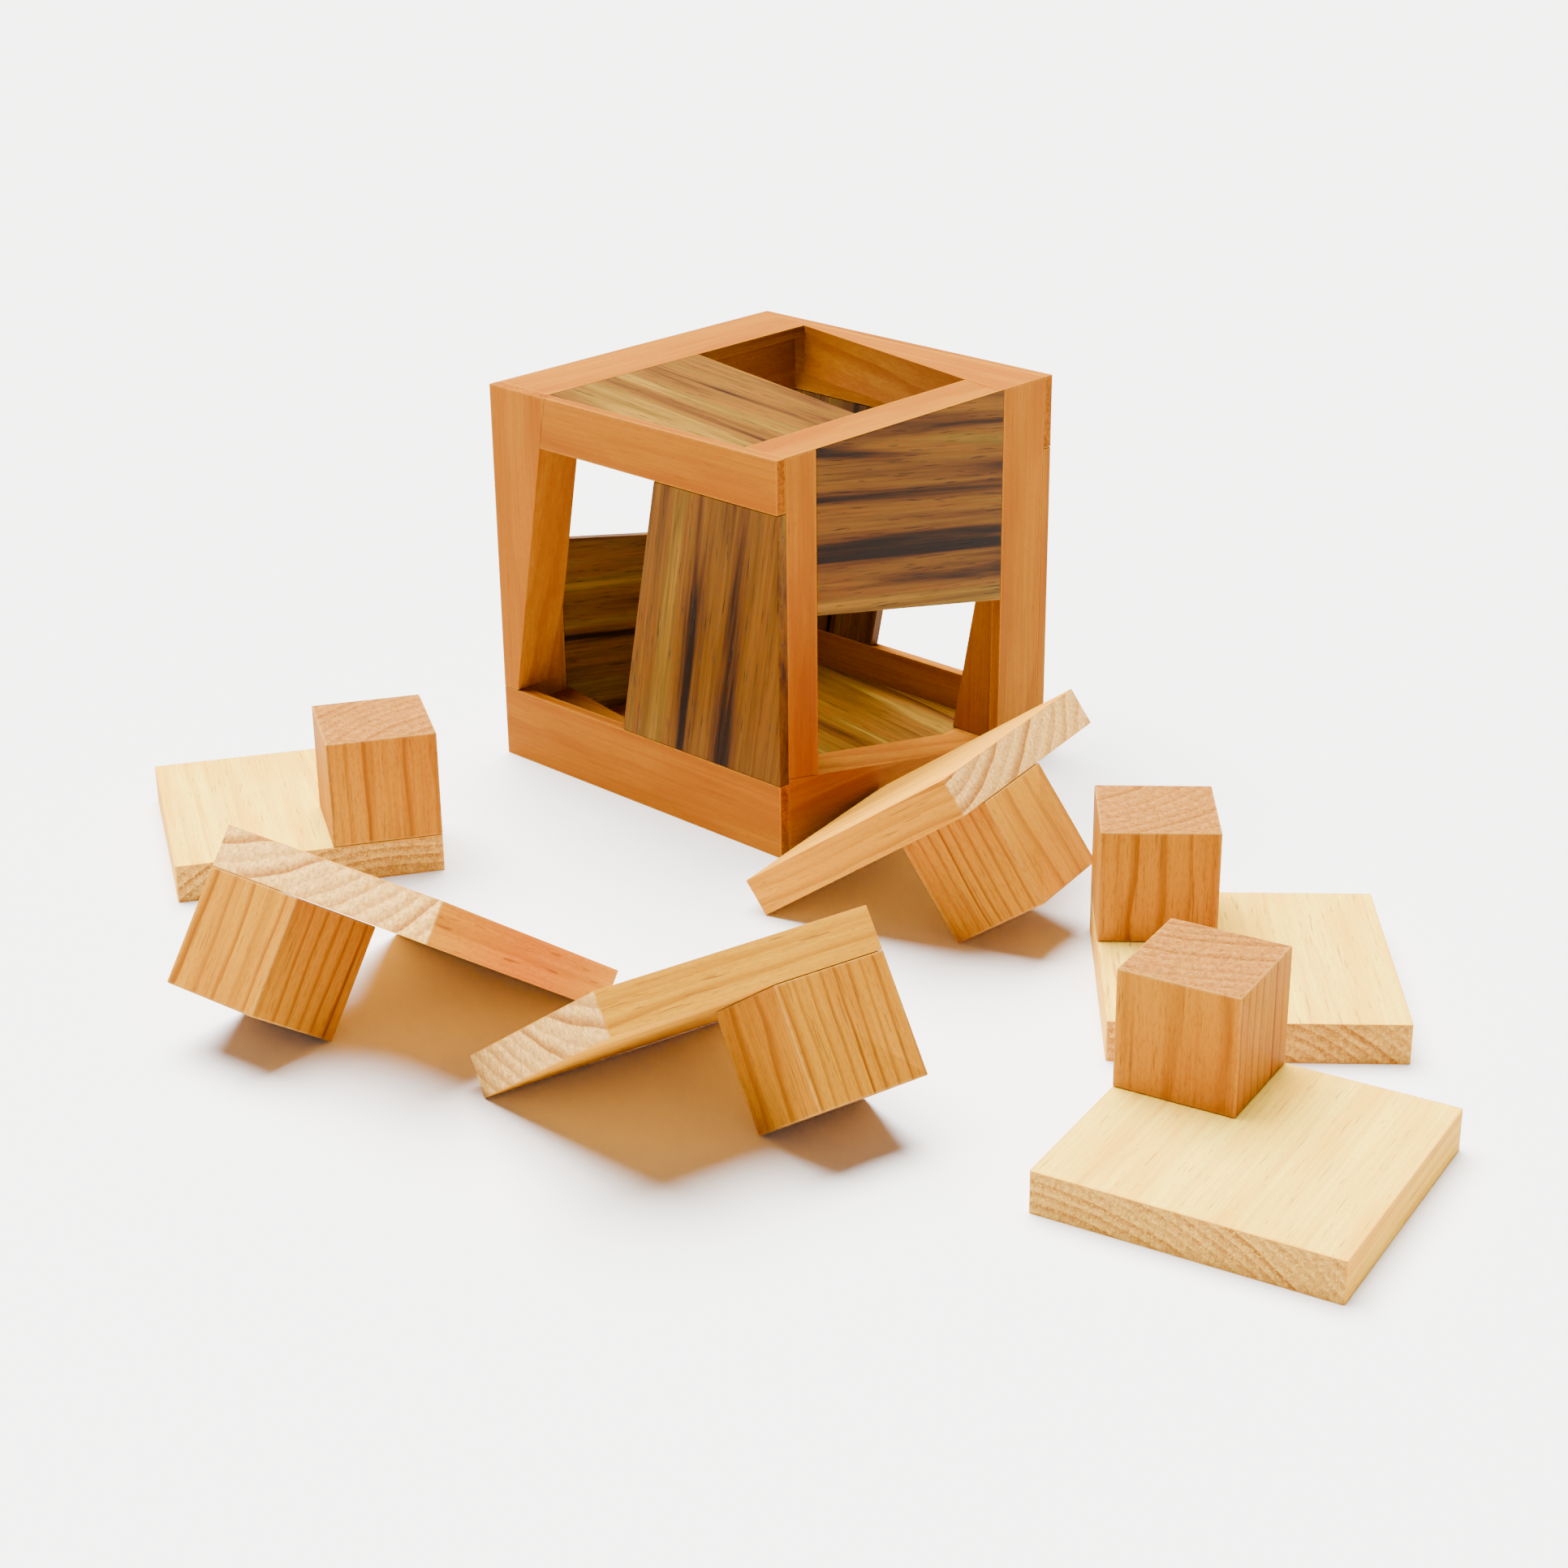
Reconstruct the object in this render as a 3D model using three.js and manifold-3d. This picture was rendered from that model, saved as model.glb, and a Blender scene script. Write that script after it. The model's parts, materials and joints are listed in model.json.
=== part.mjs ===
// Wooden puzzle box: an open cube frame with six windows, and the six puzzle pieces that go inside it.
// Each frame face has the same four members (two rails, a tapered stile and a dark panel), turned a
// third of a turn about a corner-to-corner diagonal from face to face, and mirrored through the middle
// on the opposite faces. Each puzzle piece is a square plate with a small cube glued on it.
// Millimetres, +Z up. The set lies on the table, at z = 0, as it is laid out to be put together.
import * as THREE from "three";
import { ConvexGeometry } from "three/addons/geometries/ConvexGeometry.js";
import { mergeVertices } from "three/addons/utils/BufferGeometryUtils.js";
import Module from "manifold-3d";

// Puzzle pieces
const PLATE_SIDE = 57;
const PLATE_THICKNESS = 8.4;
const CUBE_CLEARANCE = 0.7; // taken off half of what a plate's side is over its thickness
const CUBE_SHIFT_CLEARANCE = 0.3; // between the shifted cube and a plate that lies beside it
const CAVITY_CLEARANCE = 0.6;

// Frame
const FRAME_SIDE = 90;
const BOARD = 2.6; // thickness of the rails, stiles and panels
const WIDE_RAIL = 17;
const NARROW_RAIL = 12;
const STILE_FOOT = 4.6; // width of the tapered stile where it stands on the wide rail
const STILE_HEAD = 16.2; // and beside the narrow rail
const PANEL_FOOT = 49.5; // width of the dark panel along the wide rail
const PANEL_HEAD = 37; // and along the narrow rail

const GLUE_LINE = 0.1; // between members that are glued together

// Sizes that follow from the ones above
const CAVITY = PLATE_SIDE + PLATE_THICKNESS + CAVITY_CLEARANCE;
const STILE_DEPTH = (FRAME_SIDE - CAVITY) / 2;
const CUBE_SIDE = (PLATE_SIDE - PLATE_THICKNESS) / 2 - CUBE_CLEARANCE;
const HALF = FRAME_SIDE / 2;

const ORANGE_WOOD = { color: 0xd98a3c, roughness: 0.55, metalness: 0 };
const DARK_WOOD = { color: 0x7a4f2a, roughness: 0.5, metalness: 0 };
const PALE_WOOD = { color: 0xf2d9a2, roughness: 0.6, metalness: 0 };
const CUBE_WOOD = { color: 0xd29a58, roughness: 0.6, metalness: 0 };

const wasm = await Module();
wasm.setup();

const group = new THREE.Group();
const spread = new THREE.Group(); // the frame and the pieces round it, with the frame's middle at 0, 0
group.add(spread);

function addMesh(parent, name, geometry, wood) {
  const mesh = new THREE.Mesh(geometry, new THREE.MeshStandardMaterial(wood));
  mesh.name = name;
  parent.add(mesh);
  return mesh;
}

function toSolid(geometry) {
  const bare = geometry.clone();
  bare.deleteAttribute("normal");
  bare.deleteAttribute("uv");
  const merged = mergeVertices(bare, 1e-4);
  return new wasm.Manifold(
    new wasm.Mesh({
      numProp: 3,
      vertProperties: new Float32Array(merged.attributes.position.array),
      triVerts: new Uint32Array(merged.index.array),
    }),
  );
}

// Two overlapping geometries as one closed solid.
function joined(first, second) {
  const { numProp, numVert, vertProperties, triVerts } = toSolid(first)
    .add(toSolid(second))
    .getMesh();
  const points = new Float32Array(numVert * 3);
  for (let i = 0; i < numVert; i++) {
    points.set(vertProperties.subarray(i * numProp, i * numProp + 3), i * 3);
  }
  return new THREE.BufferGeometry()
    .setAttribute("position", new THREE.BufferAttribute(points, 3))
    .setIndex(new THREE.BufferAttribute(triVerts, 1))
    .toNonIndexed();
}

// How a board ends at an edge of the cube: how far it stays back from the edge at a given depth.
const COVERED = BOARD + GLUE_LINE;
const EDGE_INSETS = {
  over: () => 0, // runs over the neighbouring face's boards
  under: () => COVERED, // stops behind the neighbouring face's boards
  mitre: (depth) => depth + GLUE_LINE / 2,
};

// A face's own coordinates: u runs from the tapered stile's edge of the cube to the dark panel's edge,
// v from the wide rail's edge to the narrow rail's edge, and inward goes in from the outer surface.
const FACES = [
  {
    names: ["front", "back"],
    u: [1, 0, 0],
    v: [0, 0, 1],
    inward: [0, 1, 0],
    edges: { stile: "over", panel: "over", wide: "over", narrow: "over" },
  },
  {
    names: ["right", "left"],
    u: [0, 0, 1],
    v: [0, -1, 0],
    inward: [-1, 0, 0],
    edges: { stile: "mitre", panel: "mitre", wide: "under", narrow: "under" },
  },
  {
    names: ["top", "bottom"],
    u: [0, -1, 0],
    v: [1, 0, 0],
    inward: [0, 0, -1],
    edges: { stile: "under", panel: "under", wide: "mitre", narrow: "mitre" },
  },
];

// The limits of a face's boards at a given depth, in its own coordinates.
function limitsAt(face, depth) {
  const inset = (edge) => EDGE_INSETS[face.edges[edge]](depth);
  return {
    stileSide: inset("stile"),
    panelSide: FRAME_SIDE - inset("panel"),
    foot: inset("wide"),
    head: FRAME_SIDE - inset("narrow"),
  };
}

// A convex solid on a face between two depths. outlineAt gives its [u, v] corners at a depth. side is 1,
// or -1 for the opposite face, which is the same one seen through the middle of the cube.
function facePrism(face, side, outlineAt, nearDepth, farDepth) {
  const [u, v, inward] = [face.u, face.v, face.inward].map((axis) => new THREE.Vector3(...axis));
  const centre = new THREE.Vector3(0, 0, HALF);
  const points = [nearDepth, farDepth].flatMap((depth) =>
    outlineAt(depth).map(([alongU, alongV]) =>
      centre
        .clone()
        .addScaledVector(u, side * (alongU - HALF))
        .addScaledVector(v, side * (alongV - HALF))
        .addScaledVector(inward, side * (depth - HALF)),
    ),
  );
  return new ConvexGeometry(points);
}

// The straight line through [v0, u0] and [v1, u1], as a function that gives u at any v.
function slantedLine([v0, u0], [v1, u1]) {
  return (v) => u0 + ((v - v0) * (u1 - u0)) / (v1 - v0);
}

const WINDOW_FOOT = WIDE_RAIL;
const WINDOW_HEAD = FRAME_SIDE - NARROW_RAIL;
const stileEdge = slantedLine([WINDOW_FOOT, STILE_FOOT], [WINDOW_HEAD, STILE_HEAD]);
const panelEdge = slantedLine(
  [WINDOW_FOOT, FRAME_SIDE - PANEL_FOOT],
  [WINDOW_HEAD, FRAME_SIDE - PANEL_HEAD],
);

function wideRailOutline({ stileSide, panelSide, foot }) {
  const head = WINDOW_FOOT - GLUE_LINE;
  return [
    [stileSide, foot],
    [panelSide, foot],
    [panelSide, head],
    [stileSide, head],
  ];
}

function narrowRailOutline({ panelSide, head }) {
  const foot = WINDOW_HEAD + GLUE_LINE;
  return [
    [stileEdge(foot) + GLUE_LINE, foot],
    [panelSide, foot],
    [panelSide, head],
    [stileEdge(head) + GLUE_LINE, head],
  ];
}

function stileOutline({ stileSide, head }, foot = WINDOW_FOOT) {
  return [
    [stileSide, foot],
    [stileEdge(foot), foot],
    [stileEdge(head), head],
    [stileSide, head],
  ];
}

function panelOutline({ panelSide }) {
  return [
    [panelEdge(WINDOW_FOOT), WINDOW_FOOT],
    [panelSide, WINDOW_FOOT],
    [panelSide, WINDOW_HEAD],
    [panelEdge(WINDOW_HEAD), WINDOW_HEAD],
  ];
}

// The tapered stile is a board with a thick bar behind it, which bounds the cavity. The bar stays clear
// of the boards of the two neighbouring faces, and its foot clears the neighbouring bar.
const BAR_LIMITS = { stileSide: COVERED, head: FRAME_SIDE - COVERED };
const BAR_FOOT = Math.max(WINDOW_FOOT, STILE_DEPTH + GLUE_LINE);

function addFace(parent, face, side, name) {
  const board = (outline) =>
    facePrism(face, side, (depth) => outline(limitsAt(face, depth)), 0, BOARD);
  const bar = facePrism(face, side, () => stileOutline(BAR_LIMITS, BAR_FOOT), BOARD / 2, STILE_DEPTH);

  addMesh(parent, `${name}_wide_rail`, board(wideRailOutline), ORANGE_WOOD);
  addMesh(parent, `${name}_narrow_rail`, board(narrowRailOutline), ORANGE_WOOD);
  addMesh(parent, `${name}_tapered_stile`, joined(board(stileOutline), bar), ORANGE_WOOD);
  addMesh(parent, `${name}_dark_panel`, board(panelOutline), DARK_WOOD);
}

for (const face of FACES) {
  const [name, oppositeName] = face.names;
  addFace(spread, face, 1, name);
  addFace(spread, face, -1, oppositeName);
}

// Puzzle pieces. A piece's own frame has its plate from z = 0 upwards, centred, and the cube on top of it
// in the corner at low x and high y. A tipped piece lies upside down: it stands on the far edge of its
// plate and on the inner bottom edge of its cube.
const TIP_ANGLE = Math.atan2(CUBE_SIDE + GLUE_LINE, PLATE_SIDE - CUBE_SIDE);
const TIP_HEIGHT =
  (PLATE_SIDE / 2) * Math.sin(TIP_ANGLE) + PLATE_THICKNESS * Math.cos(TIP_ANGLE);
const FULL_SHIFT = PLATE_THICKNESS + CUBE_SHIFT_CLEARANCE;

// Where each piece lies on the table: the middle of its plate, in plate sides from the frame's front right
// corner, and its heading in degrees.
const PIECES = [
  { name: "piece_a", at: [2.68, -0.73], heading: 13, tipped: null, shift: 0 },
  { name: "piece_b", at: [1.94, 0.28], heading: 41.2, tipped: null, shift: 0 },
  { name: "piece_c", at: [-1.56, -1.11], heading: -120.6, tipped: null, shift: 0 },
  { name: "piece_d", at: [-0.05, -1.68], heading: 5.9, tipped: "x", shift: 0 },
  { name: "piece_e", at: [0.99, -1.56], heading: -11.5, tipped: "y", shift: 0 },
  { name: "piece_f", at: [0.51, 0.16], heading: 102.2, tipped: "x", shift: FULL_SHIFT },
];

function addPiece(parent, { name, at, heading, tipped, shift }) {
  const placed = new THREE.Group();
  placed.position.set(HALF + at[0] * PLATE_SIDE, at[1] * PLATE_SIDE - HALF, 0);
  placed.rotation.z = THREE.MathUtils.degToRad(heading);
  parent.add(placed);

  const lying = new THREE.Group();
  if (tipped) {
    lying.rotation[tipped] = Math.PI - TIP_ANGLE;
    lying.position.z = TIP_HEIGHT;
  }
  placed.add(lying);

  const plate = addMesh(
    lying,
    `${name}_plate`,
    new THREE.BoxGeometry(PLATE_SIDE, PLATE_SIDE, PLATE_THICKNESS),
    PALE_WOOD,
  );
  plate.position.z = PLATE_THICKNESS / 2;

  const cube = addMesh(
    lying,
    `${name}_cube`,
    new THREE.BoxGeometry(CUBE_SIDE, CUBE_SIDE, CUBE_SIDE),
    CUBE_WOOD,
  );
  const corner = (PLATE_SIDE - CUBE_SIDE) / 2;
  cube.position.set(shift - corner, corner, PLATE_THICKNESS + GLUE_LINE + CUBE_SIDE / 2);
}

for (const piece of PIECES) addPiece(spread, piece);

// The origin is on the table in the middle of the whole spread.
const middle = new THREE.Box3().setFromObject(spread, true).getCenter(new THREE.Vector3());
spread.position.set(-middle.x, -middle.y, 0);

export default group;
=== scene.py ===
"""The looks of a wooden puzzle box: an open cube frame and six loose puzzle pieces, on a pale floor.

Metres, +Z up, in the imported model's own frame. Every wood is solid: its grain and growth rings run
through the piece, so long grain and end grain meet at the edges as they do in real wood.
"""

import json
import math

import bpy
from mathutils import Matrix, Vector


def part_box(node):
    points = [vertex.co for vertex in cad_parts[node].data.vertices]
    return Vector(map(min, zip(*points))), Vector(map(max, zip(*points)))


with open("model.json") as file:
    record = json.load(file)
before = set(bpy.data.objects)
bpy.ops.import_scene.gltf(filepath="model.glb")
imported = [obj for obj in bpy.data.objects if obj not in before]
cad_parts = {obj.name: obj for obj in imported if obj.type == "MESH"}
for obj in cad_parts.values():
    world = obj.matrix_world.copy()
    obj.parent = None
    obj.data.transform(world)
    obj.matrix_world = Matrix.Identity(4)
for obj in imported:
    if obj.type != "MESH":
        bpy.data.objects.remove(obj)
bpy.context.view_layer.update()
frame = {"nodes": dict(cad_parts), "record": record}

MM = 0.001
X, Y, Z = Vector((1, 0, 0)), Vector((0, 1, 0)), Vector((0, 0, 1))


# ---------------------------------------------------------------- camera

# The camera stands off the middle of the cube frame. Angles in degrees, lens and sensor in mm.
CAMERA_OFFSET = Vector((0.4408, -0.4526, 0.2171))
CAMERA_AZIMUTH = 44.08
CAMERA_DOWN = 23.27
CAMERA_ROLL = -0.68
LENS = 65.9
SENSOR = 36
CLIP_START = 0.01  # metres


def frame_middle():
    members = frame["record"]["behaviour"]["bodies"]["frame"]
    corners = [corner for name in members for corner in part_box(name)]
    low = Vector(min(c[i] for c in corners) for i in range(3))
    high = Vector(max(c[i] for c in corners) for i in range(3))
    return (low + high) / 2


def add_camera():
    azimuth = math.radians(CAMERA_AZIMUTH)
    down = math.radians(CAMERA_DOWN)
    roll = math.radians(CAMERA_ROLL)
    level = math.cos(down)
    forward = Vector((-math.sin(azimuth) * level, math.cos(azimuth) * level, -math.sin(down)))
    level_right = Vector((math.cos(azimuth), math.sin(azimuth), 0))
    level_up = level_right.cross(forward)
    right = level_right * math.cos(roll) + level_up * math.sin(roll)
    up = right.cross(forward)

    data = bpy.data.cameras.new("camera")
    data.lens = LENS
    data.sensor_width = SENSOR
    data.clip_start = CLIP_START
    camera = bpy.data.objects.new("camera", data)
    turn = Matrix((right, up, -forward)).transposed().to_4x4()
    camera.matrix_world = Matrix.Translation(frame_middle() + CAMERA_OFFSET) @ turn
    bpy.context.scene.collection.objects.link(camera)
    bpy.context.scene.camera = camera


# ---------------------------------------------------------------- floor and light

FLOOR_SIDE = 60  # metres
FLOOR_COLOUR = (0.93, 0.925, 0.92, 1)
FLOOR_ROUGHNESS = 0.75
FLOOR_GLOSS = 0.2

# The room's glow fades from the horizon up to this height, the sine of an angle above the horizon.
HORIZON_GLOW = 0.8
OVERHEAD_GLOW = 0.1
GLOW_HEIGHT = 0.5

# From above, and a little from behind and from the left as the camera sees it.
LIGHT_FROM = (-0.36, 0.12, 1)
LIGHT_STRENGTH = 21
LIGHT_SPREAD = 52  # degrees
LIGHT_COLOUR = (1, 0.99, 0.97)


def add_floor():
    bpy.ops.mesh.primitive_plane_add(size=FLOOR_SIDE)
    floor = bpy.context.object
    floor.name = "floor"
    material = bpy.data.materials.new("floor")
    material.use_nodes = True
    shader = material.node_tree.nodes["Principled BSDF"]
    shader.inputs["Base Color"].default_value = FLOOR_COLOUR
    shader.inputs["Roughness"].default_value = FLOOR_ROUGHNESS
    shader.inputs["Specular IOR Level"].default_value = FLOOR_GLOSS
    floor.data.materials.append(material)


def add_light():
    """A white room that glows low down, and one very broad light from above."""
    world = bpy.data.worlds.new("world")
    world.use_nodes = True
    nodes, links = world.node_tree.nodes, world.node_tree.links
    direction = nodes.new("ShaderNodeTexCoord")
    height = nodes.new("ShaderNodeSeparateXYZ")
    links.new(direction.outputs["Generated"], height.inputs[0])
    fade = nodes.new("ShaderNodeMapRange")
    fade.interpolation_type = "SMOOTHSTEP"
    fade.inputs["From Max"].default_value = GLOW_HEIGHT
    fade.inputs["To Min"].default_value = HORIZON_GLOW
    fade.inputs["To Max"].default_value = OVERHEAD_GLOW
    links.new(height.outputs["Z"], fade.inputs["Value"])
    background = nodes["Background"]
    background.inputs["Color"].default_value = (1, 1, 1, 1)
    links.new(fade.outputs["Result"], background.inputs["Strength"])
    bpy.context.scene.world = world

    data = bpy.data.lights.new("softbox", "SUN")
    data.energy = LIGHT_STRENGTH
    data.angle = math.radians(LIGHT_SPREAD)
    data.color = LIGHT_COLOUR
    light = bpy.data.objects.new("softbox", data)
    light.rotation_euler = Vector(LIGHT_FROM).to_track_quat("Z", "Y").to_euler()
    bpy.context.scene.collection.objects.link(light)


# ---------------------------------------------------------------- node helpers

# Sockets of a colour mix: the factor, the two colours, and the result.
MIX_FACTOR, MIX_FIRST, MIX_SECOND, MIX_RESULT = 0, 6, 7, 2


class Graph:
    """Short ways to add nodes to one material. A value is a number, a tuple or another node's output."""

    def __init__(self, name):
        self.material = bpy.data.materials.new(name)
        self.material.use_nodes = True
        self.tree = self.material.node_tree
        self.shader = self.tree.nodes["Principled BSDF"]

    def put(self, socket, value):
        if isinstance(value, bpy.types.NodeSocket):
            self.tree.links.new(value, socket)
        else:
            socket.default_value = value

    def math(self, operation, *values, clamp=False):
        node = self.tree.nodes.new("ShaderNodeMath")
        node.operation = operation
        node.use_clamp = clamp
        for socket, value in zip(node.inputs, values):
            self.put(socket, value)
        return node.outputs[0]

    def vector(self, operation, *values):
        node = self.tree.nodes.new("ShaderNodeVectorMath")
        node.operation = operation
        for socket, value in zip(node.inputs, values):
            self.put(socket, value)
        return node.outputs[0]

    def turned(self, source, kind, rotation, location=(0, 0, 0), scale=1.0):
        node = self.tree.nodes.new("ShaderNodeMapping")
        node.vector_type = kind
        self.put(node.inputs["Vector"], source)
        node.inputs["Rotation"].default_value = rotation
        node.inputs["Scale"].default_value = (scale, scale, scale)
        if kind == "POINT":
            node.inputs["Location"].default_value = location
        return node.outputs[0]

    def split(self, source):
        node = self.tree.nodes.new("ShaderNodeSeparateXYZ")
        self.put(node.inputs[0], source)
        return node.outputs[0], node.outputs[1], node.outputs[2]

    def join(self, x, y, z):
        node = self.tree.nodes.new("ShaderNodeCombineXYZ")
        for socket, value in zip(node.inputs, (x, y, z)):
            self.put(socket, value)
        return node.outputs[0]

    def noise(self, point, scales, detail=2.0, roughness=0.5, distortion=0.0):
        """Noise from 0 to 1, with the point scaled by its own factor along each axis."""
        node = self.tree.nodes.new("ShaderNodeTexNoise")
        node.inputs["Scale"].default_value = 1
        node.inputs["Detail"].default_value = detail
        node.inputs["Roughness"].default_value = roughness
        node.inputs["Distortion"].default_value = distortion
        self.put(node.inputs["Vector"], self.vector("MULTIPLY", point, scales))
        return node.outputs["Fac"]

    def smooth(self, value, low, high):
        """0 below low and 1 above high, with a smooth step between them."""
        node = self.tree.nodes.new("ShaderNodeMapRange")
        node.interpolation_type = "SMOOTHSTEP"
        self.put(node.inputs["Value"], value)
        node.inputs["From Min"].default_value = low
        node.inputs["From Max"].default_value = high
        return node.outputs["Result"]

    def ramp(self, value, stops):
        node = self.tree.nodes.new("ShaderNodeValToRGB")
        elements = node.color_ramp.elements
        while len(elements) < len(stops):
            elements.new(0.5)
        for element, (position, colour) in zip(elements, stops):
            element.position = position
            element.color = (*colour, 1)
        self.put(node.inputs[0], value)
        return node.outputs[0]

    def mix(self, factor, first, second, blend="MIX"):
        node = self.tree.nodes.new("ShaderNodeMix")
        node.data_type = "RGBA"
        node.blend_type = blend
        self.put(node.inputs[MIX_FACTOR], factor)
        for socket, value in ((MIX_FIRST, first), (MIX_SECOND, second)):
            self.put(node.inputs[socket], (*value, 1) if isinstance(value, tuple) else value)
        return node.outputs[MIX_RESULT]

    def tint(self, colour, tone):
        return self.mix(1.0, colour, tone, "MULTIPLY")

    def stain(self, colour, mask, strength, stain):
        """The colour, turned to the stain where the mask is 1, by no more than the strength."""
        return self.mix(self.math("MULTIPLY", mask, strength), colour, stain)


# ---------------------------------------------------------------- woods

# Colours are linear RGB. A ring's width and the relief are in mm, and late_start is a share of the ring.
# Each wood's flank colour tints its narrow flanks: partly side grain, partly painted shade.
WOODS = {
    "pale_plate_wood": {
        "early": (0.94, 0.67, 0.075),
        "late": (0.70, 0.33, 0.020),
        "blotch": (0.86, 0.46, 0.020),
        "end_early": (0.66, 0.36, 0.065),
        "end_late": (0.33, 0.11, 0.012),
        "edge": (0.70, 0.29, 0.015),
        "flank": (0.96, 0.80, 0.50),
        "ring": 2.1,
        "late_start": 0.40,
        "ring_strength": 0.34,
        "line_strength": 0.45,
        "blotch_strength": 0.75,
        "pore_strength": 0.5,
        "edge_strength": 0.55,
        "roughness": 0.62,
        "relief": 0.06,
    },
    # A darker, oranger copy of the plate wood, painted shade for the tipped plates.
    "shaded_plate_wood": {
        "early": (0.77, 0.365, 0.011),
        "late": (0.38, 0.125, 0.002),
        "blotch": (0.66, 0.29, 0.006),
        "end_early": (0.86, 0.52, 0.15),
        "end_late": (0.33, 0.115, 0.020),
        "edge": (0.62, 0.24, 0.010),
        "flank": (0.90, 0.88, 0.60),
        "ring": 3.6,
        "late_start": 0.45,
        "ring_strength": 0.42,
        "line_strength": 0.40,
        "blotch_strength": 0.5,
        "pore_strength": 0.75,
        "edge_strength": 0.5,
        "roughness": 0.6,
        "relief": 0.06,
    },
    "cube_wood": {
        "early": (0.50, 0.21, 0.004),
        "late": (0.20, 0.052, 0.001),
        "blotch": (0.38, 0.125, 0.002),
        "end_early": (0.36, 0.155, 0.030),
        "end_late": (0.22, 0.080, 0.012),
        "edge": (0.60, 0.33, 0.07),
        "flank": (1.0, 1.0, 1.0),
        "ring": 2.9,
        "late_start": 0.62,
        "ring_strength": 0.85,
        "line_strength": 0.35,
        "blotch_strength": 0.45,
        "pore_strength": 0.6,
        "edge_strength": 0.4,
        "roughness": 0.58,
        "relief": 0.08,
    },
    "frame_wood": {
        "early": (0.36, 0.125, 0.002),
        "late": (0.25, 0.064, 0.001),
        "blotch": (0.29, 0.076, 0.001),
        "end_early": (0.29, 0.085, 0.004),
        "end_late": (0.20, 0.054, 0.003),
        "edge": (0.44, 0.175, 0.006),
        "flank": (1.0, 1.0, 1.0),
        "ring": 5.5,
        "late_start": 0.35,
        "ring_strength": 0.6,
        "line_strength": 0.3,
        "blotch_strength": 0.6,
        "pore_strength": 0.3,
        "edge_strength": 0.6,
        "roughness": 0.55,
        "relief": 0.03,
    },
}

# The plates of the three tipped pieces get a darker, oranger copy of the plate wood: painted shade and
# warm bounce light for their tipped faces, which turn away from the light.
SHADED_PLATES = ("piece_d_plate", "piece_e_plate", "piece_f_plate")

# The panels' wood. Its stripes go by the value of a long, stretched noise.
STRIPED_WOOD = {
    "stripes": [
        (0.34, (0.007, 0.0025, 0.001)),
        (0.375, (0.024, 0.008, 0.001)),
        (0.42, (0.085, 0.028, 0.003)),
        (0.48, (0.125, 0.052, 0.004)),
        (0.53, (0.150, 0.054, 0.004)),
        (0.58, (0.130, 0.066, 0.005)),
        (0.66, (0.240, 0.120, 0.010)),
    ],
    "pore": (0.007, 0.0025, 0.001),
    "end": (0.03, 0.011, 0.003),
    "pore_strength": 0.55,
    "end_strength": 0.6,
    "roughness": 0.4,
    "relief": 0.04,
}
STRIPED_TILT = 10  # degrees, between the panel's own direction and its grain

# The noises in the woods. Scales say how fast one changes along, across and through the grain, per mm.
NOISES = {
    "stripes": {"scales": (0.006, 0.13, 0.13), "detail": 5, "roughness": 0.52, "distortion": 0.4},
    "ring_wave": {"scales": (0.014, 0.022, 0.022), "detail": 3},
    "blotches": {"scales": (0.02, 0.09, 0.09), "detail": 2},
    "streaks": {"scales": (0.012, 0.5, 0.5), "detail": 3, "roughness": 0.55},
    "fibres": {"scales": (0.03, 1.5, 1.5), "detail": 5, "roughness": 0.68},
    "striped_fibres": {"scales": (0.03, 1.5, 1.5), "detail": 6, "roughness": 0.7},
    "pores": {"scales": (0.11, 2.0, 2.0), "detail": 2},
    "striped_pores": {"scales": (0.12, 2.4, 2.4), "detail": 1},
    "flecks": {"scales": (0.7, 3.6, 3.6), "detail": 2, "roughness": 0.6},
    "tufts": {"scales": (2.0, 2.0, 2.0), "detail": 3, "roughness": 0.7},
    "grit": {"scales": (1.1, 1.1, 1.1), "detail": 6, "roughness": 0.8},
    "sawn_end": {"scales": (3.5, 3.5, 3.5), "detail": 5},
    "wear": {"scales": (0.9, 0.9, 0.9), "detail": 4, "roughness": 0.65},
}

# The values of a noise where its mark starts to show and where it is at its fullest.
SHOWS = {
    "blotches": (0.42, 0.66),
    "streaks": (0.50, 0.72),
    "pores": (0.65, 0.71),
    "striped_pores": (0.64, 0.72),
    "flecks": (0.50, 0.66),
    "tufts": (0.53, 0.63),
}

# Tones that a noise gives to the colour under it.
FIBRE_TONE = [(0.30, (0.84, 0.76, 0.62)), (0.68, (1.05, 1.06, 1.08))]
STRIPED_FIBRE_TONE = [(0.32, (0.68, 0.64, 0.56)), (0.66, (1.22, 1.22, 1.2))]
GRIT_TONE = [(0.36, (0.58, 0.46, 0.36)), (0.62, (1.22, 1.22, 1.2))]

# Growth rings. The dark band of a ring is full at one share of its width and fades out from the next.
BAND_FULL = 0.90
BAND_FADES = 0.93
END_LATE_START = 0.15  # the band is wider on end grain
FAINTEST_RING = 0.3
RING_WAVE = 2.2  # how far the rings wave, in ring widths
FLANK_RINGS = 0.3  # how much stronger the rings show on the narrow flanks

FLECKS = 0.3  # how strongly the short flecks along the grain show
TUFTS = 0.55  # how strongly the pale tufts of fibre on end grain show

# Worn edges, in mm. The wear is full as far as the first distance from an edge and ends at the second,
# and noise draws both in by up to its own value.
WEAR_FADE = (0.45, 1.0)
WEAR_NOISE = 0.9

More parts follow.
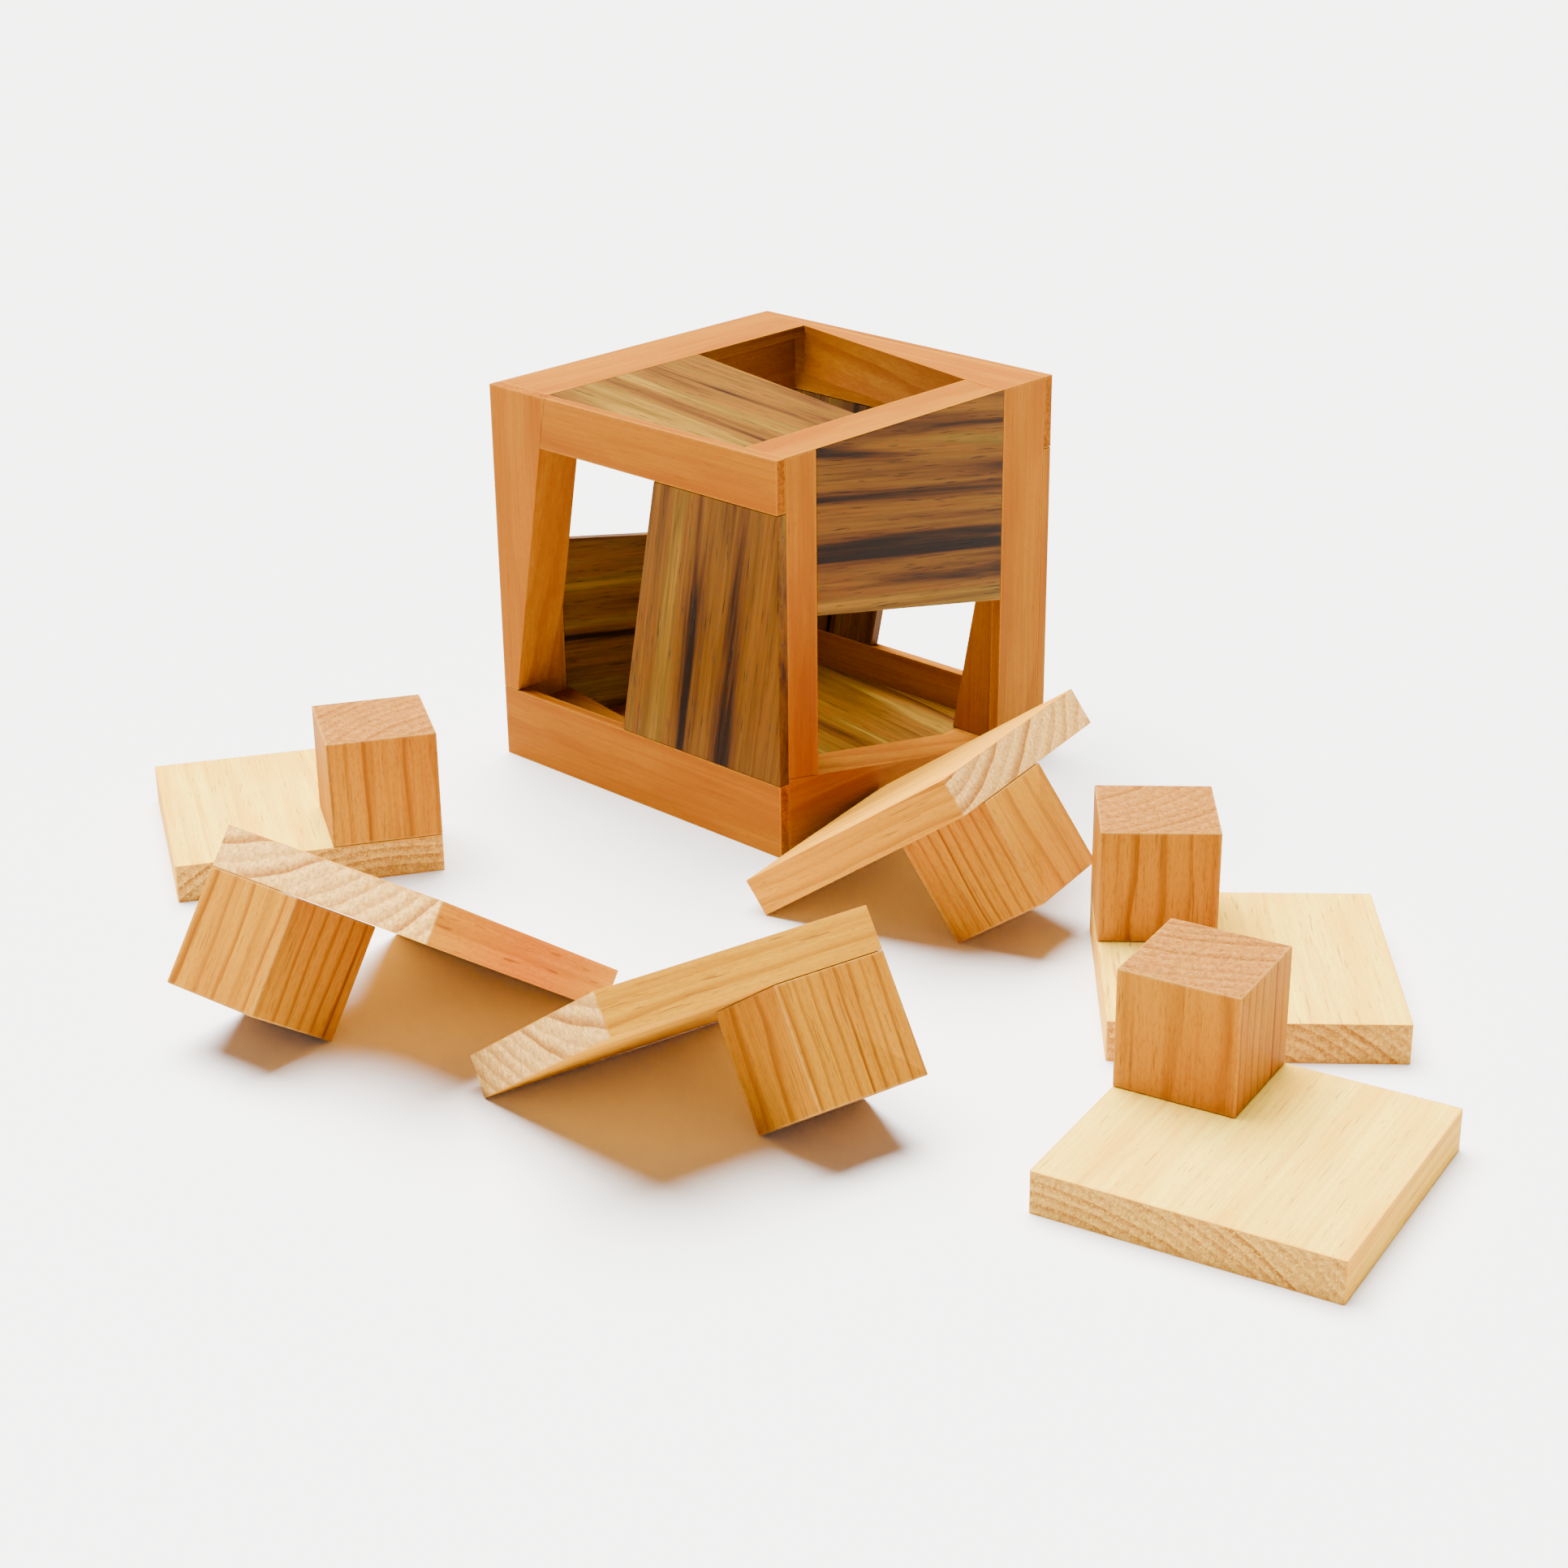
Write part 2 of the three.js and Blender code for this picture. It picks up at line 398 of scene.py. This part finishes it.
# The surface. The relief of each mark is a share of the wood's own relief.
WOOD_GLOSS = 0.03
STRIPED_GLOSS = 0.04
SHEEN_TINT = (1.0, 0.66, 0.36, 1)  # light off the wood's surface is warm
FIBRE_SHINE = 0.18  # how far the roughness varies with the fibres
STRIPED_FIBRE_SHINE = 0.2
END_ROUGHER = 0.2
PORE_DEPTH = 0.9
RING_RISE = 0.25
TUFT_RISE = 0.8

# A face looks along an axis when this much of its normal does: from the first value, fully at the second.
FACING = (0.55, 0.85)

# How far a log's middle lies from a piece, across and through it, so that its rings cross at a slant.
PITH = (-46, 52)

# What sets one piece's wood apart from the next: a step for each piece, and where the steps start again.
# The places in the noise and of the log's middle are in mm.
NOISE_STEPS = ((37.7, 211), (71.3, 223), (53.9, 197))
PITH_STEPS = ((17, 29), (11, 23))
SHADE_STEP = 0.618
DARKEST_SHADE = 0.94
SHADE_SPAN = 0.12


class GrainSpace:
    """A piece's own axes: x along the grain, y across it and z through it, in mm from its middle."""

    def __init__(self, middle, along, across, half_sizes, seed):
        through = along.cross(across)
        turn = Matrix((along, across, through))
        self.rotation = turn.to_euler("XYZ")
        self.location = -(turn @ middle) / MM
        self.half_sizes = half_sizes
        self.noise_place = tuple(Vector(seed * step % limit for step, limit in NOISE_STEPS))
        self.pith = [start + seed * step % limit for start, (step, limit) in zip(PITH, PITH_STEPS)]
        self.shade = DARKEST_SHADE + SHADE_SPAN * (seed * SHADE_STEP % 1)

    def point(self, graph):
        coordinates = graph.tree.nodes.new("ShaderNodeTexCoord")
        return graph.turned(coordinates.outputs["Object"], "POINT", self.rotation, self.location, 1 / MM)

    def facing(self, graph):
        coordinates = graph.tree.nodes.new("ShaderNodeTexCoord")
        return graph.turned(coordinates.outputs["Normal"], "VECTOR", self.rotation)


def facing_masks(graph, space):
    """Where a face shows end grain, and where it is one of the two narrow flanks along the grain."""
    along, across, _ = graph.split(space.facing(graph))
    return [graph.smooth(graph.math("ABSOLUTE", part), *FACING) for part in (along, across)]


def edge_distance(graph, space, point):
    """The middle one of the gaps to the three sides of the piece's box.

    On a face the least gap is nil, so the middle one is the distance to the nearest edge.
    """
    gaps = [
        graph.math("SUBTRACT", half, graph.math("ABSOLUTE", coordinate))
        for half, coordinate in zip(space.half_sizes, graph.split(point))
    ]
    low = graph.math("MINIMUM", gaps[0], gaps[1])
    high = graph.math("MAXIMUM", gaps[0], gaps[1])
    return graph.math("MAXIMUM", low, graph.math("MINIMUM", high, gaps[2]))


def ring_position(graph, space, point, grain_point, ring):
    """How many growth rings a point lies from the log's middle, wavy along the grain."""
    _, across, through = graph.split(point)
    gaps = [graph.math("SUBTRACT", part, pith) for part, pith in zip((across, through), space.pith)]
    squares = [graph.math("MULTIPLY", gap, gap) for gap in gaps]
    radius = graph.math("SQRT", graph.math("ADD", *squares))
    wave = graph.math("SUBTRACT", graph.noise(grain_point, **NOISES["ring_wave"]), 0.5)
    wobble = graph.math("MULTIPLY", wave, RING_WAVE * ring)
    return graph.math("DIVIDE", graph.math("ADD", radius, wobble), ring)


def late_wood(graph, position, start):
    """The dark band at the end of each ring, from its start, stronger in some rings than in others."""
    phase = graph.math("FRACT", position)
    ending = graph.math("SUBTRACT", 1, graph.smooth(phase, BAND_FADES, 1.0))
    band = graph.math("MULTIPLY", graph.smooth(phase, start, BAND_FULL), ending)
    chance = graph.tree.nodes.new("ShaderNodeTexWhiteNoise")
    chance.noise_dimensions = "1D"
    graph.put(chance.inputs["W"], graph.math("FLOOR", position))
    strength = graph.math("MULTIPLY_ADD", chance.outputs["Value"], 1 - FAINTEST_RING, FAINTEST_RING)
    return graph.math("MULTIPLY", band, strength)


def marks(graph, grain_point, kind):
    """One kind of mark in the wood: 0 where there is none, and 1 where it is at its fullest."""
    return graph.smooth(graph.noise(grain_point, **NOISES[kind]), *SHOWS[kind])


def side_colour(graph, wood, grain_point, rings, flanks, fibres, pores):
    """The colour of the faces along the grain, with the narrow flanks tinted oranger and darker: partly
    their side grain, partly painted shade and warm bounce light.
    """
    ring_strength = graph.math("MULTIPLY_ADD", flanks, FLANK_RINGS, wood["ring_strength"])
    shown_rings = graph.math("MULTIPLY", rings, ring_strength, clamp=True)
    kinds = ("blotches", "streaks", "flecks")
    blotches, streaks, flecks = (marks(graph, grain_point, kind) for kind in kinds)
    colour = graph.mix(shown_rings, wood["early"], wood["late"])
    colour = graph.stain(colour, blotches, wood["blotch_strength"], wood["blotch"])
    colour = graph.stain(colour, streaks, wood["line_strength"], wood["late"])
    colour = graph.tint(colour, graph.ramp(fibres, FIBRE_TONE))
    colour = graph.stain(colour, flecks, FLECKS, wood["late"])
    colour = graph.stain(colour, pores, wood["pore_strength"], wood["end_late"])
    # The flank tint is partly side grain and partly painted shade and warm bounce light.
    return graph.mix(flanks, colour, graph.tint(colour, wood["flank"]))


def end_colour(graph, wood, grain_point, end_rings, tufts):
    """The colour of end grain: rings, grit and pale tufts of fibre."""
    colour = graph.mix(end_rings, wood["end_early"], wood["end_late"])
    colour = graph.tint(colour, graph.ramp(graph.noise(grain_point, **NOISES["grit"]), GRIT_TONE))
    return graph.stain(colour, tufts, TUFTS, wood["early"])


def edge_wear(graph, space, point, grain_point):
    """1 along a piece's edges, with a ragged end a little way in from them."""
    ragged = graph.math("MULTIPLY", graph.noise(grain_point, **NOISES["wear"]), WEAR_NOISE)
    reach = graph.math("ADD", edge_distance(graph, space, point), ragged)
    return graph.math("SUBTRACT", 1, graph.smooth(reach, *WEAR_FADE))


def plain_wood(name, wood, space):
    graph = Graph(name)
    point = space.point(graph)
    grain_point = graph.vector("ADD", point, space.noise_place)
    ends, flanks = facing_masks(graph, space)
    position = ring_position(graph, space, point, grain_point, wood["ring"])
    rings = late_wood(graph, position, wood["late_start"])
    end_rings = late_wood(graph, position, END_LATE_START)
    fibres = graph.noise(grain_point, **NOISES["fibres"])
    pores = marks(graph, grain_point, "pores")
    tufts = marks(graph, grain_point, "tufts")

    side = side_colour(graph, wood, grain_point, rings, flanks, fibres, pores)
    end = end_colour(graph, wood, grain_point, end_rings, tufts)
    wear = edge_wear(graph, space, point, grain_point)
    colour = graph.stain(graph.mix(ends, side, end), wear, wood["edge_strength"], wood["edge"])
    graph.put(graph.shader.inputs["Base Color"], graph.tint(colour, (space.shade,) * 3))
    set_sheen(graph, WOOD_GLOSS)

    side_roughness = fibre_roughness(graph, fibres, wood["roughness"], FIBRE_SHINE)
    roughness = graph.math("MULTIPLY_ADD", ends, END_ROUGHER, side_roughness)
    graph.put(graph.shader.inputs["Roughness"], roughness)

    grooves = graph.math("SUBTRACT", fibres, graph.math("MULTIPLY", pores, PORE_DEPTH))
    side_relief = graph.math("MULTIPLY_ADD", rings, RING_RISE, grooves)
    sawn_end = graph.noise(grain_point, **NOISES["sawn_end"])
    end_relief = graph.math("MULTIPLY_ADD", tufts, TUFT_RISE, sawn_end)
    rise = graph.math("SUBTRACT", end_relief, side_relief)
    add_bump(graph, graph.math("MULTIPLY_ADD", rise, ends, side_relief), wood["relief"])
    return graph.material


def striped_wood(name, space):
    graph = Graph(name)
    wood = STRIPED_WOOD
    grain_point = graph.vector("ADD", space.point(graph), space.noise_place)
    ends = facing_masks(graph, space)[0]
    fibres = graph.noise(grain_point, **NOISES["striped_fibres"])
    pores = marks(graph, grain_point, "striped_pores")

    side = graph.ramp(graph.noise(grain_point, **NOISES["stripes"]), wood["stripes"])
    side = graph.tint(side, graph.ramp(fibres, STRIPED_FIBRE_TONE))
    side = graph.stain(side, pores, wood["pore_strength"], wood["pore"])
    colour = graph.stain(side, ends, wood["end_strength"], wood["end"])
    graph.put(graph.shader.inputs["Base Color"], colour)
    set_sheen(graph, STRIPED_GLOSS)

    roughness = fibre_roughness(graph, fibres, wood["roughness"], STRIPED_FIBRE_SHINE)
    graph.put(graph.shader.inputs["Roughness"], roughness)
    add_bump(graph, graph.math("SUBTRACT", fibres, pores), wood["relief"])
    return graph.material


def fibre_roughness(graph, fibres, roughness, shine):
    """The wood's roughness, less where a fibre is raised and more between the fibres."""
    return graph.math("MULTIPLY_ADD", fibres, -shine, roughness + shine / 2)


def set_sheen(graph, gloss):
    graph.shader.inputs["Specular IOR Level"].default_value = gloss
    graph.shader.inputs["Specular Tint"].default_value = SHEEN_TINT


def add_bump(graph, height, relief):
    """Bump from a height of about 1, with the relief in mm."""
    node = graph.tree.nodes.new("ShaderNodeBump")
    node.inputs["Strength"].default_value = 1.0
    node.inputs["Distance"].default_value = relief * MM
    graph.put(node.inputs["Height"], height)
    graph.put(graph.shader.inputs["Normal"], node.outputs[0])


# ---------------------------------------------------------------- grain directions

# Along the rails (u) and along the stile and panel (v), on each face.
FACE_AXES = {
    "front": (X, Z),
    "back": (X, Z),
    "right": (Z, -Y),
    "left": (Z, -Y),
    "top": (-Y, X),
    "bottom": (-Y, X),
}
ACROSS = 0.1  # two unit normals are across one another when their product is below this


def half_extents(node, middle, axes):
    """Half the size of a CAD node along each axis, in mm."""
    points = [vertex.co - middle for vertex in frame["nodes"][node].data.vertices]
    return [max(abs(point.dot(axis)) for point in points) / MM for axis in axes]


def box_middle(node):
    low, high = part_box(node)
    return (low + high) / 2


def frame_space(node, seed):
    face, member = node.split("_", 1)
    u, v = FACE_AXES[face]
    along, across = (u, v) if member.endswith("rail") else (v, u)
    if member == "dark_panel":
        # its grain leans the way that its slanted edge does
        lean = math.tan(math.radians(STRIPED_TILT))
        along, across = (v + lean * u).normalized(), (u - lean * v).normalized()
    middle = box_middle(node)
    half_sizes = half_extents(node, middle, (along, across, along.cross(across)))
    return GrainSpace(middle, along, across, half_sizes, seed)


def piece_axes(piece):
    """A puzzle piece's own axes: z towards its cube, which sits at low x and high y on the plate."""
    mesh = frame["nodes"][f"{piece}_plate"].data
    directions = []
    for polygon in sorted(mesh.polygons, key=lambda polygon: -polygon.area):
        if all(abs(polygon.normal.dot(other)) < ACROSS for other in directions):
            directions.append(polygon.normal.copy())
    z, side, other_side = directions
    offset = box_middle(f"{piece}_cube") - box_middle(f"{piece}_plate")
    if offset.dot(z) < 0:
        z = -z
    for x, y in ((side, other_side), (other_side, side)):
        x = -x if offset.dot(x) > 0 else x
        y = -y if offset.dot(y) < 0 else y
        if x.cross(y).dot(z) > 0:
            return x, y, z
    raise ValueError(f"the axes of {piece} can't be told from its meshes")


def piece_space(node, seed):
    piece, kind = node.rsplit("_", 1)
    x, y, z = piece_axes(piece)
    along = y if kind == "plate" else z
    middle = box_middle(node)
    half_sizes = half_extents(node, middle, (along, x, along.cross(x)))
    return GrainSpace(middle, along, x, half_sizes, seed)


# ---------------------------------------------------------------- dress the CAD nodes

SLOTS = {entry["node"]: entry["material_slot"] for entry in frame["record"]["subparts"]}

# Rounded edges. Lengths are in mm, and the angle between two faces in degrees.
EDGE_RADIUS = {
    "pale_plate_wood": 0.35,
    "cube_wood": 0.3,
    "frame_wood": 0.14,
    "dark_striped_wood": 0.14,
}
EDGE_SEGMENTS = 3
EDGE_ANGLE = 30
WELD = 0.001


def soften_edges(part, radius):
    weld = part.modifiers.new("weld", "WELD")
    weld.merge_threshold = WELD * MM
    bevel = part.modifiers.new("edges", "BEVEL")
    bevel.width = radius * MM
    bevel.segments = EDGE_SEGMENTS
    bevel.limit_method = "ANGLE"
    bevel.angle_limit = math.radians(EDGE_ANGLE)
    bevel.use_clamp_overlap = True


def dress(node, seed):
    part = frame["nodes"][node]
    slot = SLOTS[node]
    space = piece_space(node, seed) if node.startswith("piece") else frame_space(node, seed)
    if slot == "dark_striped_wood":
        material = striped_wood(node, space)
    else:
        # The tipped plates take the darker, oranger copy of the plate wood, as painted shade.
        wood = WOODS["shaded_plate_wood" if node in SHADED_PLATES else slot]
        material = plain_wood(node, wood, space)
    part.data.materials.clear()
    part.data.materials.append(material)
    soften_edges(part, EDGE_RADIUS[slot])


add_camera()
add_floor()
add_light()
for seed, node in enumerate(sorted(SLOTS), start=1):
    dress(node, seed)
